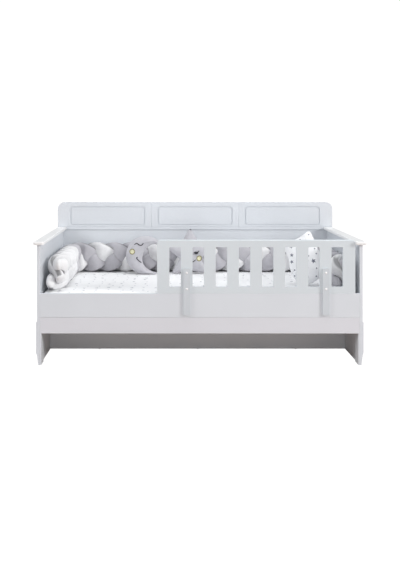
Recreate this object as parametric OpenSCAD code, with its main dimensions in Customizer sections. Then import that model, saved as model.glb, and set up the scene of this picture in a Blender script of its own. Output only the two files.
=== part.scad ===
// Toddler bed with a lift-off guard rail, dressed with its bedding.
// Seen from the front: +X right, +Y to the back, +Z up. The origin is on the floor, at the middle of the bed.

/* [Mattress] */
// Length of the mattress
mattress_l = 1900; // [1600:10:2000]
// Width of the mattress
mattress_w = 900; // [800:10:1000]
// Thickness of the mattress
mattress_t = 130; // [100:5:150]

/* [Boards] */
// Thickness of every board
board_t = 18; // [16:1:22]
// Radius worn on the long edges of the boards
arris_r = 2; // [1:0.5:3]
// Height of the end panels, up to the underside of their cap rails
end_h = 726; // [680:2:800]
// Height of the whole bed, at the top of the back
bed_h = 926; // [900:2:1000]
// Height of the front rail's top edge
rail_top = 434; // [430:1:450]
// Height of the seam between the front rail and the apron
seam_z = 290; // [270:2:320]
// Height of the apron's lower edge
apron_z = 193; // [150:1:220]
// Distance from the front of the bed to the board under it
support_set = 378; // [300:2:420]

/* [Cap rails] */
// Width of the cap rails on the end panels
cap_w = 64; // [56:1:64]
// Thickness of the cap rails
cap_t = 20; // [16:1:24]
// Overhang of the cap rails, outwards and to the front
cap_over = 20; // [10:1:24]

/* [Back] */
// How far the upper back stands in front of the lower back panel
upper_proud = 6; // [3:1:8]
// Length of the middle board of the upper back
middle_l = 634; // [560:2:700]
// Radius of the two top corners of the back
crown_r = 50; // [30:1:80]
// Width of the routed frames in the upper back
frame_l = 545; // [500:5:550]
// Height of the routed frames
frame_h = 138; // [120:2:150]

/* [Guard rail] */
// Length of the guard rail
guard_l = 1190; // [1050:5:1240]
// Height of the guard rail above the front rail
guard_h = 322; // [300:2:340]
// Gap between the guard rail and the right end panel
guard_gap = 26.6; // [25:0.2:60]
// Number of slots in the guard rail
slots = 8; // [6:1:8]
// Height of each slot
slot_h = 239; // [200:1:250]
// Height of the plain strip under the slots
slot_base = 39; // [35:1:60]
// How far the guard rail lifts until it is free
lift = 150; // [140:1:180]

/* [Hangers] */
// Width of the two strips that hang the guard rail on the front rail
hanger_w = 40; // [34:1:48]
// Length of each hanger
hanger_l = 280; // [260:1:300]
// Thickness of each hanger
hanger_t = 10; // [8:1:12]
// How far each hanger reaches down over the front rail
hanger_drop = 130; // [100:1:135]

/* [Bed base] */
// Number of slats
slat_count = 14; // [10:1:14]
// Width of each slat
slat_w = 80; // [60:1:85]

/* [Bedding] */
// Height of the braided bumper
braid_h = 213; // [180:1:230]
// Thickness of the braided bumper
braid_t = 126; // [110:1:128]
// Radius of the moon cushion
moon_r = 132; // [120:1:140]
// Radius of the star cushion, to its tips
star_r = 172; // [150:1:180]
// Thickness of the moon and star cushions
toy_t = 92; // [70:1:100]

/* [Hidden] */
$fn = 32;

// Room around the mattress
side_play = 20;
front_play = 17;
inner_l = mattress_l + side_play;
inner_w = mattress_w + front_play;

// Depth from the front of the cap rails to the back of the bed, centred on the origin
bed_w = cap_over + board_t + inner_w + board_t;
y_front = -bed_w / 2 + cap_over;       // front faces of the rail, apron and end panels
y_rail = y_front + board_t;            // rear face of the front rail
y_back = y_rail + inner_w;             // front face of the lower back panel
y_rear = y_back + board_t;
x_in = inner_l / 2;                    // inner faces of the end panels
x_out = x_in + board_t;
x_cap = x_out + cap_over;

// Feet and skirting
glide_h = 4;
glide_r = 4.5;
skirt_t = 5;
skirt_low = 64;
skirt_top = 265;
foot_in = 8;                           // how far the foot of an end panel tapers in

// Bed base
slat_t = 18;
ledger_d = 30;
ledger_h = 40;
slat_z = rail_top - 4 - mattress_t - slat_t;
ledger_z = slat_z - ledger_h;
slat_pitch = inner_l / slat_count;
mattress_z = slat_z + slat_t;
sheet_t = 2;
bed_z = mattress_z + mattress_t + sheet_t; // top of the fitted sheet
mattress_y = y_back - 1 - sheet_t - mattress_w / 2;

// Fasteners: each list holds the places that a kind of fastener takes
dowel_r = 4;
dowel_l = 30;
screw_r = 2.2;
cam_r = 7.5;
cam_depth = 12.5;
cam_drop = 32;
bolt_r = 3.5;
cam_y = [for (k = [0:2]) y_front + 77 + k * 399];
cam_z = end_h - cam_drop;
rail_dowel_z = [rail_top - 40, (rail_top + seam_z) / 2 - 10, seam_z - 24, apron_z + 24];
support_y = y_front + support_set;
support_dowel_z = [60, 140, 220];
back_dowel_x = concat([for (s = [-1, 1], k = [0:2]) s * (middle_l / 2 + 70 + k * 260)], [-220, 0, 220]);
back_screw_z = [90, 290, 490, 680];
back_screw_l = 50;
ledger_screw_x = [for (k = [-2:2]) k * 430];
slat_screw_y = [y_rail + ledger_d / 2, y_back - ledger_d / 2];
glide_at = concat(
    [for (s = [-1, 1], y = [-430, 0, 430]) [s * (x_in + 5), y]],
    [for (x = [-640, 0, 640]) [x, support_y + board_t / 2]],
    [for (x = [-640, 0, 640]) [x, y_back + board_t / 2]]);

// Guard rail
guard_x = x_in - guard_gap - guard_l;  // its left end
slot_w = guard_l / (slots * 2 + 1.2);
slot_pitch = slot_w * 2.01;
slot_x = guard_x + (guard_l - slot_pitch * (slots - 1) - slot_w) / 2;
hanger_x = [for (k = [0, slots - 2]) slot_x + slot_pitch * k + (slot_w + slot_pitch) / 2];
hanger_z = rail_top - hanger_drop;
hanger_play = 0.5;                     // room between the hangers and the front rail
plate_t = 6;
guard_bolt_z = [rail_top + 28, rail_top + 125];
guard_bolt_r = 3;
guard_pin_x = [guard_x + 40, guard_x + guard_l - 40];
guard_pin_l = 40;

// Bedding
bumper_x = x_in - 19;                  // outer faces of the bumper's two arms
bumper_end = y_front + 56;             // front ends of its arms
moon_at = [-350, y_back - 190, bed_z + moon_r + 0.3];
moon_bite = [70, -18, 98];             // the round bite's place from the moon's centre, and its radius
star_tip_r = 22;
// Its tips and the hollows after them, anticlockwise from the top: angle, and distance as a share of star_r
star_tips = [[90, 1], [162, 0.99], [228, 1.07], [312, 1.07], [18, 0.99]];
star_hollows = [[126, 0.56], [206, 0.46], [270, 0.67], [334, 0.46], [54, 0.56]];
star_at = [-40, y_back - 190, bed_z + 143];
pillow_size = [185, 74, 285];
pillow_at = [x_in - 283.5, y_front + 285, bed_z + 174.8];
pillow_slope = 32.6;                   // of its short sides, from level
pillow_rake = 25;                      // of its long sides, from upright: it has slumped a little out of square
pillow_corner = 20;
pillow_lean = [-14, 0, -10];

slat_names = [for (k = [1:slat_count]) str("slat_", k < 10 ? "0" : "", k)];

lacquer = [0.84, 0.85, 0.86];
white_part = [0.95, 0.95, 0.96];
pine = [0.86, 0.76, 0.58];
zinc = [0.75, 0.76, 0.78];
grey_cloth = [0.74, 0.72, 0.76];
white_cloth = [0.94, 0.94, 0.96];

// A flat rectangle with round corners, from [x0, y0] to [x1, y1]
module rounded(x0, y0, x1, y1, r) {
    translate([x0 + r, y0]) square([x1 - x0 - 2 * r, y1 - y0]);
    translate([x0, y0 + r]) square([x1 - x0, y1 - y0 - 2 * r]);
    for (x = [x0 + r, x1 - r], y = [y0 + r, y1 - r]) translate([x, y]) circle(r);
}

// Its child outline, drawn in the XZ plane, made solid from y0 to y1
module along_y(y0, y1) {
    translate([0, y1, 0]) rotate([90, 0, 0]) linear_extrude(y1 - y0) children();
}

// Its child outline, drawn in the YZ plane, made solid from x0 to x1
module along_x(x0, x1) {
    translate([x0, 0, 0]) rotate([90, 0, 90]) linear_extrude(x1 - x0) children();
}

// A board that lies along X, with its long edges rounded
module long_board(x0, x1, y0, y1, z0, z1) {
    along_x(x0, x1) rounded(y0, z0, y1, z1, arris_r);
}

// Turns its child, which stands on +Z, to point along an axis such as [0, -1, 0]
module point_along(axis) {
    rotate([-90 * axis[1] + (axis[2] < 0 ? 180 : 0), 90 * axis[0], 0]) children();
}

// A round rod from a point, along one axis, forwards or backwards
module rod(at, axis, r, l) {
    translate(at) point_along(axis) cylinder(r = r, h = l);
}

// A countersunk screw: its head's face is at the point and its shank runs along the axis
module screw(at, axis, r, l) {
    rod(at, axis, r, l);
    translate(at) point_along(axis) cylinder(r1 = r * 2, r2 = r, h = r * 1.5);
}

module dowels_of_ends() {
    for (s = [-1, 1], z = rail_dowel_z)
        rod([s * x_in - dowel_l / 2, y_front + board_t / 2, z], [1, 0, 0], dowel_r, dowel_l);
    for (s = [-1, 1], z = support_dowel_z)
        rod([s * x_in - dowel_l / 2, support_y + board_t / 2, z], [1, 0, 0], dowel_r, dowel_l);
}

module dowels_of_back() {
    for (x = back_dowel_x)
        rod([x, y_back + board_t / 2, end_h - dowel_l / 2], [0, 0, 1], dowel_r, dowel_l);
}

module back_screws_at() {
    for (s = [-1, 1], z = back_screw_z)
        screw([s * (x_in + board_t / 2), y_rear, z], [0, -1, 0], 3, back_screw_l);
}

module ledger_screws_at() {
    for (x = ledger_screw_x) {
        screw([x, y_rail + ledger_d, ledger_z + ledger_h / 2], [0, -1, 0], screw_r, ledger_d + 12);
        screw([x, y_back - ledger_d, ledger_z + ledger_h / 2], [0, 1, 0], screw_r, ledger_d + 12);
    }
}

module slat_screws_at(k) {
    for (y = slat_screw_y)
        screw([slat_x(k), y, slat_z + slat_t], [0, 0, -1], screw_r, slat_t + 24);
}

module cam_locks_at() {
    for (s = [-1, 1], y = cam_y)
        rod([s * x_in - (s < 0 ? cam_depth : 0), y, cam_z], [1, 0, 0], cam_r, cam_depth);
}

module cam_bolts_at() {
    for (s = [-1, 1], y = cam_y)
        rod([s * (x_in + board_t / 2), y, cam_z + cam_r], [0, 0, 1], bolt_r, cam_drop - cam_r + 12);
}

module guard_bolts_at() {
    for (x = hanger_x, z = guard_bolt_z)
        rod([x, y_front - hanger_t, z], [0, 1, 0], guard_bolt_r, hanger_t + board_t + plate_t + 3);
}

function slat_x(k) = -x_in + (k + 0.5) * slat_pitch;

// Frame of the bed

module end_panel(s) {
    color(lacquer) difference() {
        intersection() {
            along_y(y_front, y_back) polygon([
                [s * x_in, glide_h], [s * (x_out - foot_in), glide_h], [s * x_out, skirt_low],
                [s * x_out, end_h], [s * x_in, end_h]]);
            linear_extrude(end_h) rounded(min(s * x_in, s * x_out), y_front,
                max(s * x_in, s * x_out), y_back, arris_r);
        }
        dowels_of_ends();
        cam_locks_at();
        cam_bolts_at();
        back_screws_at();
    }
}

// A cap rail: round corners in plan, round edges along its length and at its front end
module cap_rail(s) {
    inner = s * (x_cap - cap_w);
    outer = s * x_cap;
    color(white_part) difference() {
        intersection() {
            translate([0, 0, end_h]) linear_extrude(cap_t)
                rounded(min(inner, outer), y_front - cap_over, max(inner, outer), y_back + 40, 12);
            along_y(y_front - cap_over, y_back - upper_proud)
                rounded(min(inner, outer), end_h, max(inner, outer), end_h + cap_t, 6);
            along_x(-x_cap, x_cap)
                rounded(y_front - cap_over, end_h, y_back + 40, end_h + cap_t, 6);
        }
        cam_bolts_at();
    }
}

// The thin board on the outside of an end panel, chamfered along its top and its foot
module skirting(s) {
    color(lacquer) along_y(y_front, y_back) polygon([
        [s * x_out, skirt_low], [s * (x_out + skirt_t), skirt_low + 12],
        [s * (x_out + skirt_t), skirt_top - 5], [s * x_out, skirt_top]]);
}

// The thin upright behind the apron's end, which fills the corner below it
module leg_cheek(s) {
    cheek_t = 8;
    inner = s * (x_in - cheek_t);
    color(lacquer) difference() {
        translate([min(inner, s * x_in), y_front, glide_h]) cube([cheek_t, 80, ledger_z - glide_h]);
        translate([-x_out, y_front - 1, apron_z]) cube([2 * x_out, board_t + 1, ledger_z]);
    }
}

module front_rail() {
    color(lacquer) difference() {
        long_board(-x_in, x_in, y_front, y_rail, seam_z, rail_top);
        dowels_of_ends();
        for (x = guard_pin_x)
            rod([x, y_front + board_t / 2, rail_top - guard_pin_l / 2 - 1], [0, 0, 1], dowel_r + 0.3, guard_pin_l);
    }
}

module front_apron() {
    color(lacquer) difference() {
        long_board(-x_in, x_in, y_front + 1, y_rail, apron_z, seam_z);
        dowels_of_ends();
        ledger_screws_at();
    }
}

module lower_back_panel() {
    color(lacquer) difference() {
        long_board(-x_out, x_out, y_back, y_rear, glide_h, end_h);
        dowels_of_back();
        back_screws_at();
        ledger_screws_at();
    }
}

// A board of the upper back from x0 to x1. An end of the bed has a round top corner on that side.
module back_board(x0, x1, left_round, right_round) {
    y0 = y_back - upper_proud;
    groove_d = 4;
    groove_w = 9;
    frame_z = (end_h + cap_t + bed_h) / 2 - 10;
    frame_x = left_round ? x1 - 45 - frame_l / 2 : right_round ? x0 + 45 + frame_l / 2 : 0;
    color(lacquer) difference() {
        intersection() {
            along_y(y0, y_rear) {
                translate([x0, end_h]) square([x1 - x0, bed_h - end_h - crown_r]);
                translate([x0 + (left_round ? crown_r : 0), bed_h - crown_r])
                    square([x1 - x0 - (left_round || right_round ? crown_r : 0), crown_r]);
                if (left_round) translate([x0 + crown_r, bed_h - crown_r]) circle(crown_r, $fn = 64);
                if (right_round) translate([x1 - crown_r, bed_h - crown_r]) circle(crown_r, $fn = 64);
            }
            long_board(x0, x1, y0, y_rear, end_h, bed_h);
            linear_extrude(bed_h) rounded(x0, y0, x1, y_rear, arris_r);
        }
        along_y(y0 - 1, y0 + groove_d) difference() {
            rounded(frame_x - frame_l / 2, frame_z - frame_h / 2, frame_x + frame_l / 2,
                frame_z + frame_h / 2, 25);
            rounded(frame_x - frame_l / 2 + groove_w, frame_z - frame_h / 2 + groove_w,
                frame_x + frame_l / 2 - groove_w, frame_z + frame_h / 2 - groove_w, 25 - groove_w);
        }
        translate([x0 - 1, y0 - 1, end_h + cap_t - 1]) cube([x1 - x0 + 2, 3, 3]);
        dowels_of_back();
    }
}

module support_board() {
    color(lacquer) difference() {
        long_board(-x_in, x_in, support_y, support_y + board_t, glide_h, slat_z);
        dowels_of_ends();
    }
}

module ledger(y0) {
    color(pine) difference() {
        long_board(-x_in, x_in, y0, y0 + ledger_d, ledger_z, slat_z);
        ledger_screws_at();
        for (k = [0:slat_count - 1]) slat_screws_at(k);
    }
}

module slat(k) {
    color(pine) difference() {
        translate([slat_x(k), 0, 0]) along_y(y_rail + 2, y_back - 2)
            rounded(-slat_w / 2, slat_z, slat_w / 2, slat_z + slat_t, arris_r);
        slat_screws_at(k);
    }
}

// Feet and fasteners

module floor_glides() {
    color(white_part) for (p = glide_at) translate([p[0], p[1], 0]) cylinder(r = glide_r, h = glide_h);
}

module cam_locks() { color(zinc) cam_locks_at(); }
module cam_bolts() { color(zinc) cam_bolts_at(); }
module dowels() { color(pine) { dowels_of_ends(); dowels_of_back(); } }
module back_screws() { color(zinc) back_screws_at(); }
module ledger_screws() { color(zinc) ledger_screws_at(); }
module slat_screws() { color(zinc) for (k = [0:slat_count - 1]) slat_screws_at(k); }

// Guard rail, which lifts straight up off the front rail

module guard_board() {
    color(lacquer) difference() {
        intersection() {
            along_y(y_front, y_rail) difference() {
                union() {
                    translate([guard_x, rail_top]) square([guard_l, guard_h - 24]);
                    rounded(guard_x, rail_top + 40, guard_x + guard_l, rail_top + guard_h, 24);
                }
                for (k = [0:slots - 1]) {
                    x0 = slot_x + k * slot_pitch;
                    rounded(x0, rail_top + slot_base, x0 + slot_w, rail_top + slot_base + slot_h, 6);
                }
            }
            along_x(guard_x, guard_x + guard_l) union() {
                rounded(y_front, rail_top + 40, y_rail, rail_top + guard_h, 6);
                translate([y_front, rail_top]) square([board_t, guard_h / 2]);
            }
        }
        guard_bolts_at();
        for (x = guard_pin_x)
            rod([x, y_front + board_t / 2, rail_top - guard_pin_l / 2], [0, 0, 1], dowel_r, guard_pin_l);
    }
}

// A strip with round corners, bolted to the guard rail and hanging over the front of the front rail
module hanger(x) {
    color(lacquer) difference() {
        along_y(y_front - hanger_t, y_front)
            rounded(x - hanger_w / 2, hanger_z, x + hanger_w / 2, hanger_z + hanger_l, 7);
        translate([x - hanger_w, y_front - hanger_play, hanger_z - 1])
            cube([2 * hanger_w, 1, hanger_drop + 1]);
        guard_bolts_at();
    }
}

// The matching plate behind the front rail
module hanger_plate(x) {
    color(white_part) difference() {
        along_y(y_rail, y_rail + plate_t)
            rounded(x - hanger_w / 2, hanger_z + 40, x + hanger_w / 2, hanger_z + hanger_l, 7);
        translate([x - hanger_w, y_rail - 1, hanger_z - 1])
            cube([2 * hanger_w, 1 + hanger_play, hanger_drop + 1]);
        guard_bolts_at();
    }
}

// Bolts with low domed heads
module guard_bolts() {
    color(white_part) {
        guard_bolts_at();
        for (x = hanger_x, z = guard_bolt_z) {
            translate([x, y_front - hanger_t, z]) rotate([90, 0, 0]) intersection() {
                cylinder(r = 7, h = 3);
                translate([0, 0, -7.6]) sphere(r = 10.5);
            }
        }
    }
}

// Round nuts, closed over the bolts' ends
module guard_nuts() {
    color(white_part) difference() {
        for (x = hanger_x, z = guard_bolt_z)
            rod([x, y_rail + plate_t, z], [0, 1, 0], 6, 4.5);
        guard_bolts_at();
    }
}

module guard_pins() {
    color(zinc) for (x = guard_pin_x)
        rod([x, y_front + board_t / 2, rail_top - guard_pin_l / 2], [0, 0, 1], dowel_r, guard_pin_l);
}

// Bedding

module mattress() {
    color(white_cloth) translate([0, mattress_y, mattress_z]) linear_extrude(mattress_t)
        rounded(-mattress_l / 2, -mattress_w / 2, mattress_l / 2, mattress_w / 2, 40);
}

// The fitted sheet covers the mattress's top and sides
module fitted_sheet() {
    grow = sheet_t;
    color(white_cloth) difference() {
        translate([0, mattress_y, mattress_z + 3]) linear_extrude(mattress_t + sheet_t - 3)
            rounded(-mattress_l / 2 - grow, -mattress_w / 2 - grow,
                mattress_l / 2 + grow, mattress_w / 2 + grow, 40 + grow);
        mattress();
    }
}

// One braid along the left end, the back and the right end, as a plain solid of its outer shape
module braided_bumper() {
    y1 = y_back - 5;
    color(grey_cloth) translate([0, 0, bed_z]) linear_extrude(braid_h) difference() {
        union() {
            rounded(-bumper_x, bumper_end + 80, bumper_x, y1, 110);
            for (s = [-1, 1])
                translate([s * (bumper_x - braid_t / 2) - braid_t / 2, bumper_end]) square([braid_t, 500]);
        }
        translate([-(bumper_x - braid_t), bumper_end - 1])
            square([2 * (bumper_x - braid_t), y1 - braid_t - bumper_end - 24]);
        rounded(-(bumper_x - braid_t), bumper_end + 100, bumper_x - braid_t, y1 - braid_t, 25);
    }
}

// A full moon with a round bite out of its right side
module moon_cushion() {
    color(grey_cloth) translate([moon_at[0], 0, moon_at[2]])
        along_y(moon_at[1] - toy_t / 2, moon_at[1] + toy_t / 2) difference() {
            circle(moon_r, $fn = 64);
            translate([moon_bite[0], moon_bite[1]]) circle(moon_bite[2], $fn = 64);
        }
}

// A plump star that sits on two of its five tips, which spread under its weight
module star_cushion() {
    color(grey_cloth) translate([star_at[0], 0, star_at[2]])
        along_y(star_at[1] - toy_t / 2, star_at[1] + toy_t / 2) {
            for (t = star_tips) rotate(t[0]) translate([star_r * t[1] - star_tip_r, 0]) circle(star_tip_r);
            polygon([for (k = [0:4], side = [0, 1, 2])
                let (t = star_tips[k], h = star_hollows[k], d = star_r * t[1] - star_tip_r,
                     e = t[0] - 70 + 140 * side)
                side == 2 ? star_r * h[1] * [cos(h[0]), sin(h[0])]
                    : d * [cos(t[0]), sin(t[0])] + star_tip_r * [cos(e), sin(e)]]);
        }
}

// A small pillow that leans back with one corner up
module star_print_pillow() {
    a = [cos(pillow_slope), sin(pillow_slope)];
    b = [-sin(pillow_rake), cos(pillow_rake)];
    u = (pillow_size[0] / 2 - pillow_corner) * a;
    v = (pillow_size[2] / 2 - pillow_corner) * b;
    m = pillow_corner * [-a[1], a[0]];
    n = pillow_corner * [b[1], -b[0]];
    color(white_cloth) translate(pillow_at) rotate(pillow_lean)
        along_y(-pillow_size[1] / 2, pillow_size[1] / 2) {
            polygon([u + v + m, v - u + m, v - u - n, -u - v - n, -u - v - m, u - v - m, u - v + n, u + v + n]);
            for (c = [u + v, v - u, -u - v, u - v]) translate(c) circle(pillow_corner);
        }
}

end_panel(-1);  // end_panel_left
end_panel(1);  // end_panel_right
cap_rail(-1);  // cap_rail_left
cap_rail(1);  // cap_rail_right
skirting(-1);  // skirting_left
skirting(1);  // skirting_right
leg_cheek(-1);  // leg_cheek_left
leg_cheek(1);  // leg_cheek_right
front_rail();
front_apron();
lower_back_panel();
back_board(-x_cap, -middle_l / 2, true, false);  // back_board_left
back_board(-middle_l / 2, middle_l / 2, false, false);  // back_board_middle
back_board(middle_l / 2, x_cap, false, true);  // back_board_right
support_board();
ledger(y_rail);  // ledger_front
ledger(y_back - ledger_d);  // ledger_back
for (k = [0:slat_count - 1]) slat(k);
floor_glides();
cam_locks();
cam_bolts();
dowels();
back_screws();
ledger_screws();
slat_screws();
guard_board();
hanger(hanger_x[0]);  // hanger_left
hanger(hanger_x[1]);  // hanger_right
hanger_plate(hanger_x[0]);  // hanger_plate_left
hanger_plate(hanger_x[1]);  // hanger_plate_right
guard_bolts();
guard_nuts();
guard_pins();
mattress();
fitted_sheet();
braided_bumper();
moon_cushion();
star_cushion();
star_print_pillow();
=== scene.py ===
import math
import bmesh
import bpy
import numpy as np
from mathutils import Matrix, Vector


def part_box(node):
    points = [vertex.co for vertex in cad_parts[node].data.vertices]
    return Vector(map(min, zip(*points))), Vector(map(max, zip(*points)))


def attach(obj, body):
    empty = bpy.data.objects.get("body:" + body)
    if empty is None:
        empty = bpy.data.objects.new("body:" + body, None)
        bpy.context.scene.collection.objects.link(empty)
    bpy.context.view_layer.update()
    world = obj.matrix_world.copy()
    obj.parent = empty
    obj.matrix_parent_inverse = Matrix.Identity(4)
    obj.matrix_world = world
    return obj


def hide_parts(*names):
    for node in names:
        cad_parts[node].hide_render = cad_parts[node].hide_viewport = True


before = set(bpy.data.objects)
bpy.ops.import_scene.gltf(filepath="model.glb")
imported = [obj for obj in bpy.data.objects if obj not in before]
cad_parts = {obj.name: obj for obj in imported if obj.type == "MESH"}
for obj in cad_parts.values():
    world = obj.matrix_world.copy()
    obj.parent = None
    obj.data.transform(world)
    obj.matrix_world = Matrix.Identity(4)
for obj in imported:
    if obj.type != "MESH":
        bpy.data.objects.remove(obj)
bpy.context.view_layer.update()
print("frame loaded:", len(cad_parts), "nodes")


# Shader building

class Wire:  # a socket that takes part in sums, so that a formula reads as one; each sum adds its Math node
    def __init__(self, shader, socket):
        self.shader, self.socket = shader, socket

    def maths(self, operation, other=None, swapped=False):
        values = {0: self} if other is None else {0: other, 1: self} if swapped else {0: self, 1: other}
        return self.shader.add("ShaderNodeMath", {"operation": operation}, values)

    def __add__(self, other):
        return self.maths("ADD", other)

    def __sub__(self, other):
        return self.maths("SUBTRACT", other)

    def __mul__(self, other):
        return self.maths("MULTIPLY", other)

    def __pow__(self, other):
        return self.maths("POWER", other)

    def __mod__(self, other):
        return self.maths("FLOORED_MODULO", other)

    def __lt__(self, other):
        return self.maths("LESS_THAN", other)

    def __rsub__(self, other):
        return self.maths("SUBTRACT", other, True)

    def __abs__(self):
        return self.maths("ABSOLUTE")

    __radd__, __rmul__ = __add__, __mul__

    def ramp(self, low, high):  # 0 below low, 1 above high, smooth between
        return self.shader.add("ShaderNodeMapRange", {"interpolation_type": "SMOOTHSTEP"},
                               {"Value": self, "From Min": low, "From Max": high})

    def part(self, letter):  # one coordinate of a vector
        return self.shader.add("ShaderNodeSeparateXYZ", {}, {0: self}, letter)


class Shader:  # one material, with its Principled BSDF and output
    def __init__(self, name):
        self.material = bpy.data.materials.new(name)
        self.material.use_nodes = True
        self.tree = self.material.node_tree
        self.tree.nodes.clear()
        self.surface = self.tree.nodes.new("ShaderNodeBsdfPrincipled")
        output = self.tree.nodes.new("ShaderNodeOutputMaterial")
        self.tree.links.new(self.surface.outputs[0], output.inputs["Surface"])

    def add(self, kind, settings, values, out=0):  # any node: its settings first, then what its sockets take
        node = self.tree.nodes.new(kind)
        for key, value in settings.items():
            if key == "stops":
                for k, (place, colour) in enumerate(value):
                    stop = node.color_ramp.elements[k] if k < 2 else node.color_ramp.elements.new(place)
                    stop.position, stop.color = place, (*colour, 1)
            else:
                setattr(node, key, value)
        for key, value in values.items():
            self.feed(node.inputs[key], value)
        return Wire(self, node.outputs[out])

    def feed(self, socket, value):  # a link from a wire, or a fixed value
        if isinstance(value, Wire):
            self.tree.links.new(value.socket, socket)
        elif socket.type == "RGBA":
            socket.default_value = (*value, 1)
        else:
            socket.default_value = value

    def set(self, **values):  # values or wires of the Principled BSDF, by socket name with _ for a space
        for key, value in values.items():
            self.feed(self.surface.inputs[key.replace("_", " ")], value)
        return self

    def place(self, scale=(1, 1, 1), source="Object"):  # metres on the piece, or on its cloth
        coords = self.add("ShaderNodeTexCoord", {}, {}, source)
        return self.add("ShaderNodeMapping", {}, {"Vector": coords, "Scale": scale})

    def noise(self, where, scale, detail=3.0, rough=0.5):  # scale is in lumps to a metre
        return self.add("ShaderNodeTexNoise", {}, {"Vector": where, "Scale": scale, "Detail": detail,
                                                   "Roughness": rough}, "Fac")

    def mix(self, share, first, second):  # the first colour where share is 0, the second where it is 1
        return self.add("ShaderNodeMix", {"data_type": "RGBA"}, {0: share, 6: first, 7: second}, 2)

    def bump(self, height, depth, normal=None):  # depth is the height of a step from 0 to 1, in metres
        values = {"Height": height, "Distance": depth, "Strength": 1.0}
        if normal is not None:
            values["Normal"] = normal
        return self.add("ShaderNodeBump", {}, values)


def tint(colour, gain):  # each channel times gain, held at 1
    return tuple(min(1.0, c * gain) for c in colour)


# Lacquered board: a faint cloudiness in the colour, the sprayed skin's orange peel, and rubbed patches in
# the gloss
lacquerCoats = {
    "frameLacquer": {"colour": (0.672, 0.702, 0.742), "gloss": 0.36},
    # the apron: the frame lacquer made a little warmer, as painted warm light bounced up from the floor
    "apronWarmBounceLacquer": {"colour": (0.675, 0.685, 0.725), "gloss": 0.38},
    "guardLacquer": {"colour": (0.642, 0.692, 0.725), "gloss": 0.36},
    "hangerLacquer": {"colour": (0.585, 0.625, 0.66), "gloss": 0.34},
    "capLacquer": {"colour": (0.87, 0.87, 0.868), "gloss": 0.30},
}
lacquerSkin = {"cloud": 2.3, "grain": 60.0, "peel": 420.0, "uneven": 0.015, "relief": 0.00006, "coat": 0.08,
               "coatRough": 0.2}


def lacquer(name, colour, gloss):  # roughness is gloss, a little more or less by cloud and grain
    shader = Shader(name)
    where = shader.place()
    cloud = shader.noise(where, lacquerSkin["cloud"], 2.0)
    grain = shader.noise(where, lacquerSkin["grain"], 4.0, 0.6)
    peel = shader.noise(where, lacquerSkin["peel"], 2.0, 0.45)
    shade = shader.mix(cloud.ramp(0.3, 0.7), tint(colour, 1 - lacquerSkin["uneven"]),
                       tint(colour, 1 + lacquerSkin["uneven"]))
    rubbed = (cloud * 0.06 + grain * 0.05) + (gloss - 0.055)
    skin = shader.bump(peel * 0.7 + grain * 0.3, lacquerSkin["relief"])
    return shader.set(Base_Color=shade, Roughness=rubbed, Normal=skin, Coat_Weight=lacquerSkin["coat"],
                      Coat_Roughness=lacquerSkin["coatRough"]).material


coats = {name: lacquer(name, **coat) for name, coat in lacquerCoats.items()}


planedWood = {"stretch": 0.06, "rings": 9.0, "warp": 7.0, "fibre": 160.0, "relief": 0.00025}


def timber(name, colour, dark, along):  # wavy year rings and fine fibre, drawn out along X (0) or Y (1)
    shader = Shader(name)
    stretch = planedWood["stretch"]
    where = shader.place((stretch, 1, 1) if along == 0 else (1, stretch, 1))
    warp = shader.noise(where, planedWood["warp"], 3.0)
    rings = shader.add("ShaderNodeTexWave", {"wave_type": "RINGS", "rings_direction": "XY"[along]},
                       {"Vector": where, "Scale": planedWood["rings"], "Distortion": warp * 9.0,
                        "Detail": 3.0, "Detail Scale": 1.4}, "Fac")
    fibre = shader.noise(where, planedWood["fibre"], 5.0, 0.65)
    shade = shader.mix((rings * 0.7 + fibre * 0.3).ramp(0.15, 0.95), colour, dark)
    return shader.set(Base_Color=shade, Roughness=0.5 + fibre * 0.2,
                      Normal=shader.bump(fibre * 0.6 + rings * 0.4, planedWood["relief"])).material


def metal(name, colour, rough):  # zinc plate, dulled by fine scuffs
    shader = Shader(name)
    where = shader.place()
    scuff = shader.noise(where, 900.0, 3.0, 0.7)
    return shader.set(Base_Color=shader.mix(scuff.ramp(0.3, 0.8), colour, tint(colour, 0.85)), Metallic=1.0,
                      Roughness=scuff * 0.2 + (rough - 0.1), Normal=shader.bump(scuff, 0.00003)).material


def plastic(name, colour, rough):  # moulded, with a fine even skin
    shader = Shader(name)
    where = shader.place()
    skin = shader.noise(where, 1400.0, 2.0)
    return shader.set(Base_Color=shader.mix(skin.ramp(0.3, 0.7), colour, tint(colour, 0.97)),
                      Roughness=skin * 0.1 + (rough - 0.05), Normal=shader.bump(skin, 0.00002)).material


slatPine = timber("slatPine", (0.80, 0.64, 0.43), (0.62, 0.44, 0.26), 1)
ledgerPine = timber("ledgerPine", (0.78, 0.61, 0.40), (0.60, 0.42, 0.24), 0)
zincMetal = metal("zincMetal", (0.62, 0.63, 0.65), 0.38)
whiteCap = plastic("whiteCap", (0.90, 0.90, 0.91), 0.22)
glidePlastic = plastic("glidePlastic", (0.85, 0.85, 0.86), 0.5)


# The frame's own pieces keep their shape: their facets are joined, and the arrises get a fine round
arris = {"weld": 0.00002, "width": 0.0012, "segments": 2, "angle": math.radians(40)}


def softenArrises(piece):  # equal points become one, then every edge sharper than the angle gets a round
    weld = piece.modifiers.new("weld", "WELD")
    weld.merge_threshold = arris["weld"]
    bevel = piece.modifiers.new("arris", "BEVEL")
    bevel.width, bevel.segments = arris["width"], arris["segments"]
    bevel.limit_method, bevel.angle_limit = "ANGLE", arris["angle"]
    bevel.harden_normals = True


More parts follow.
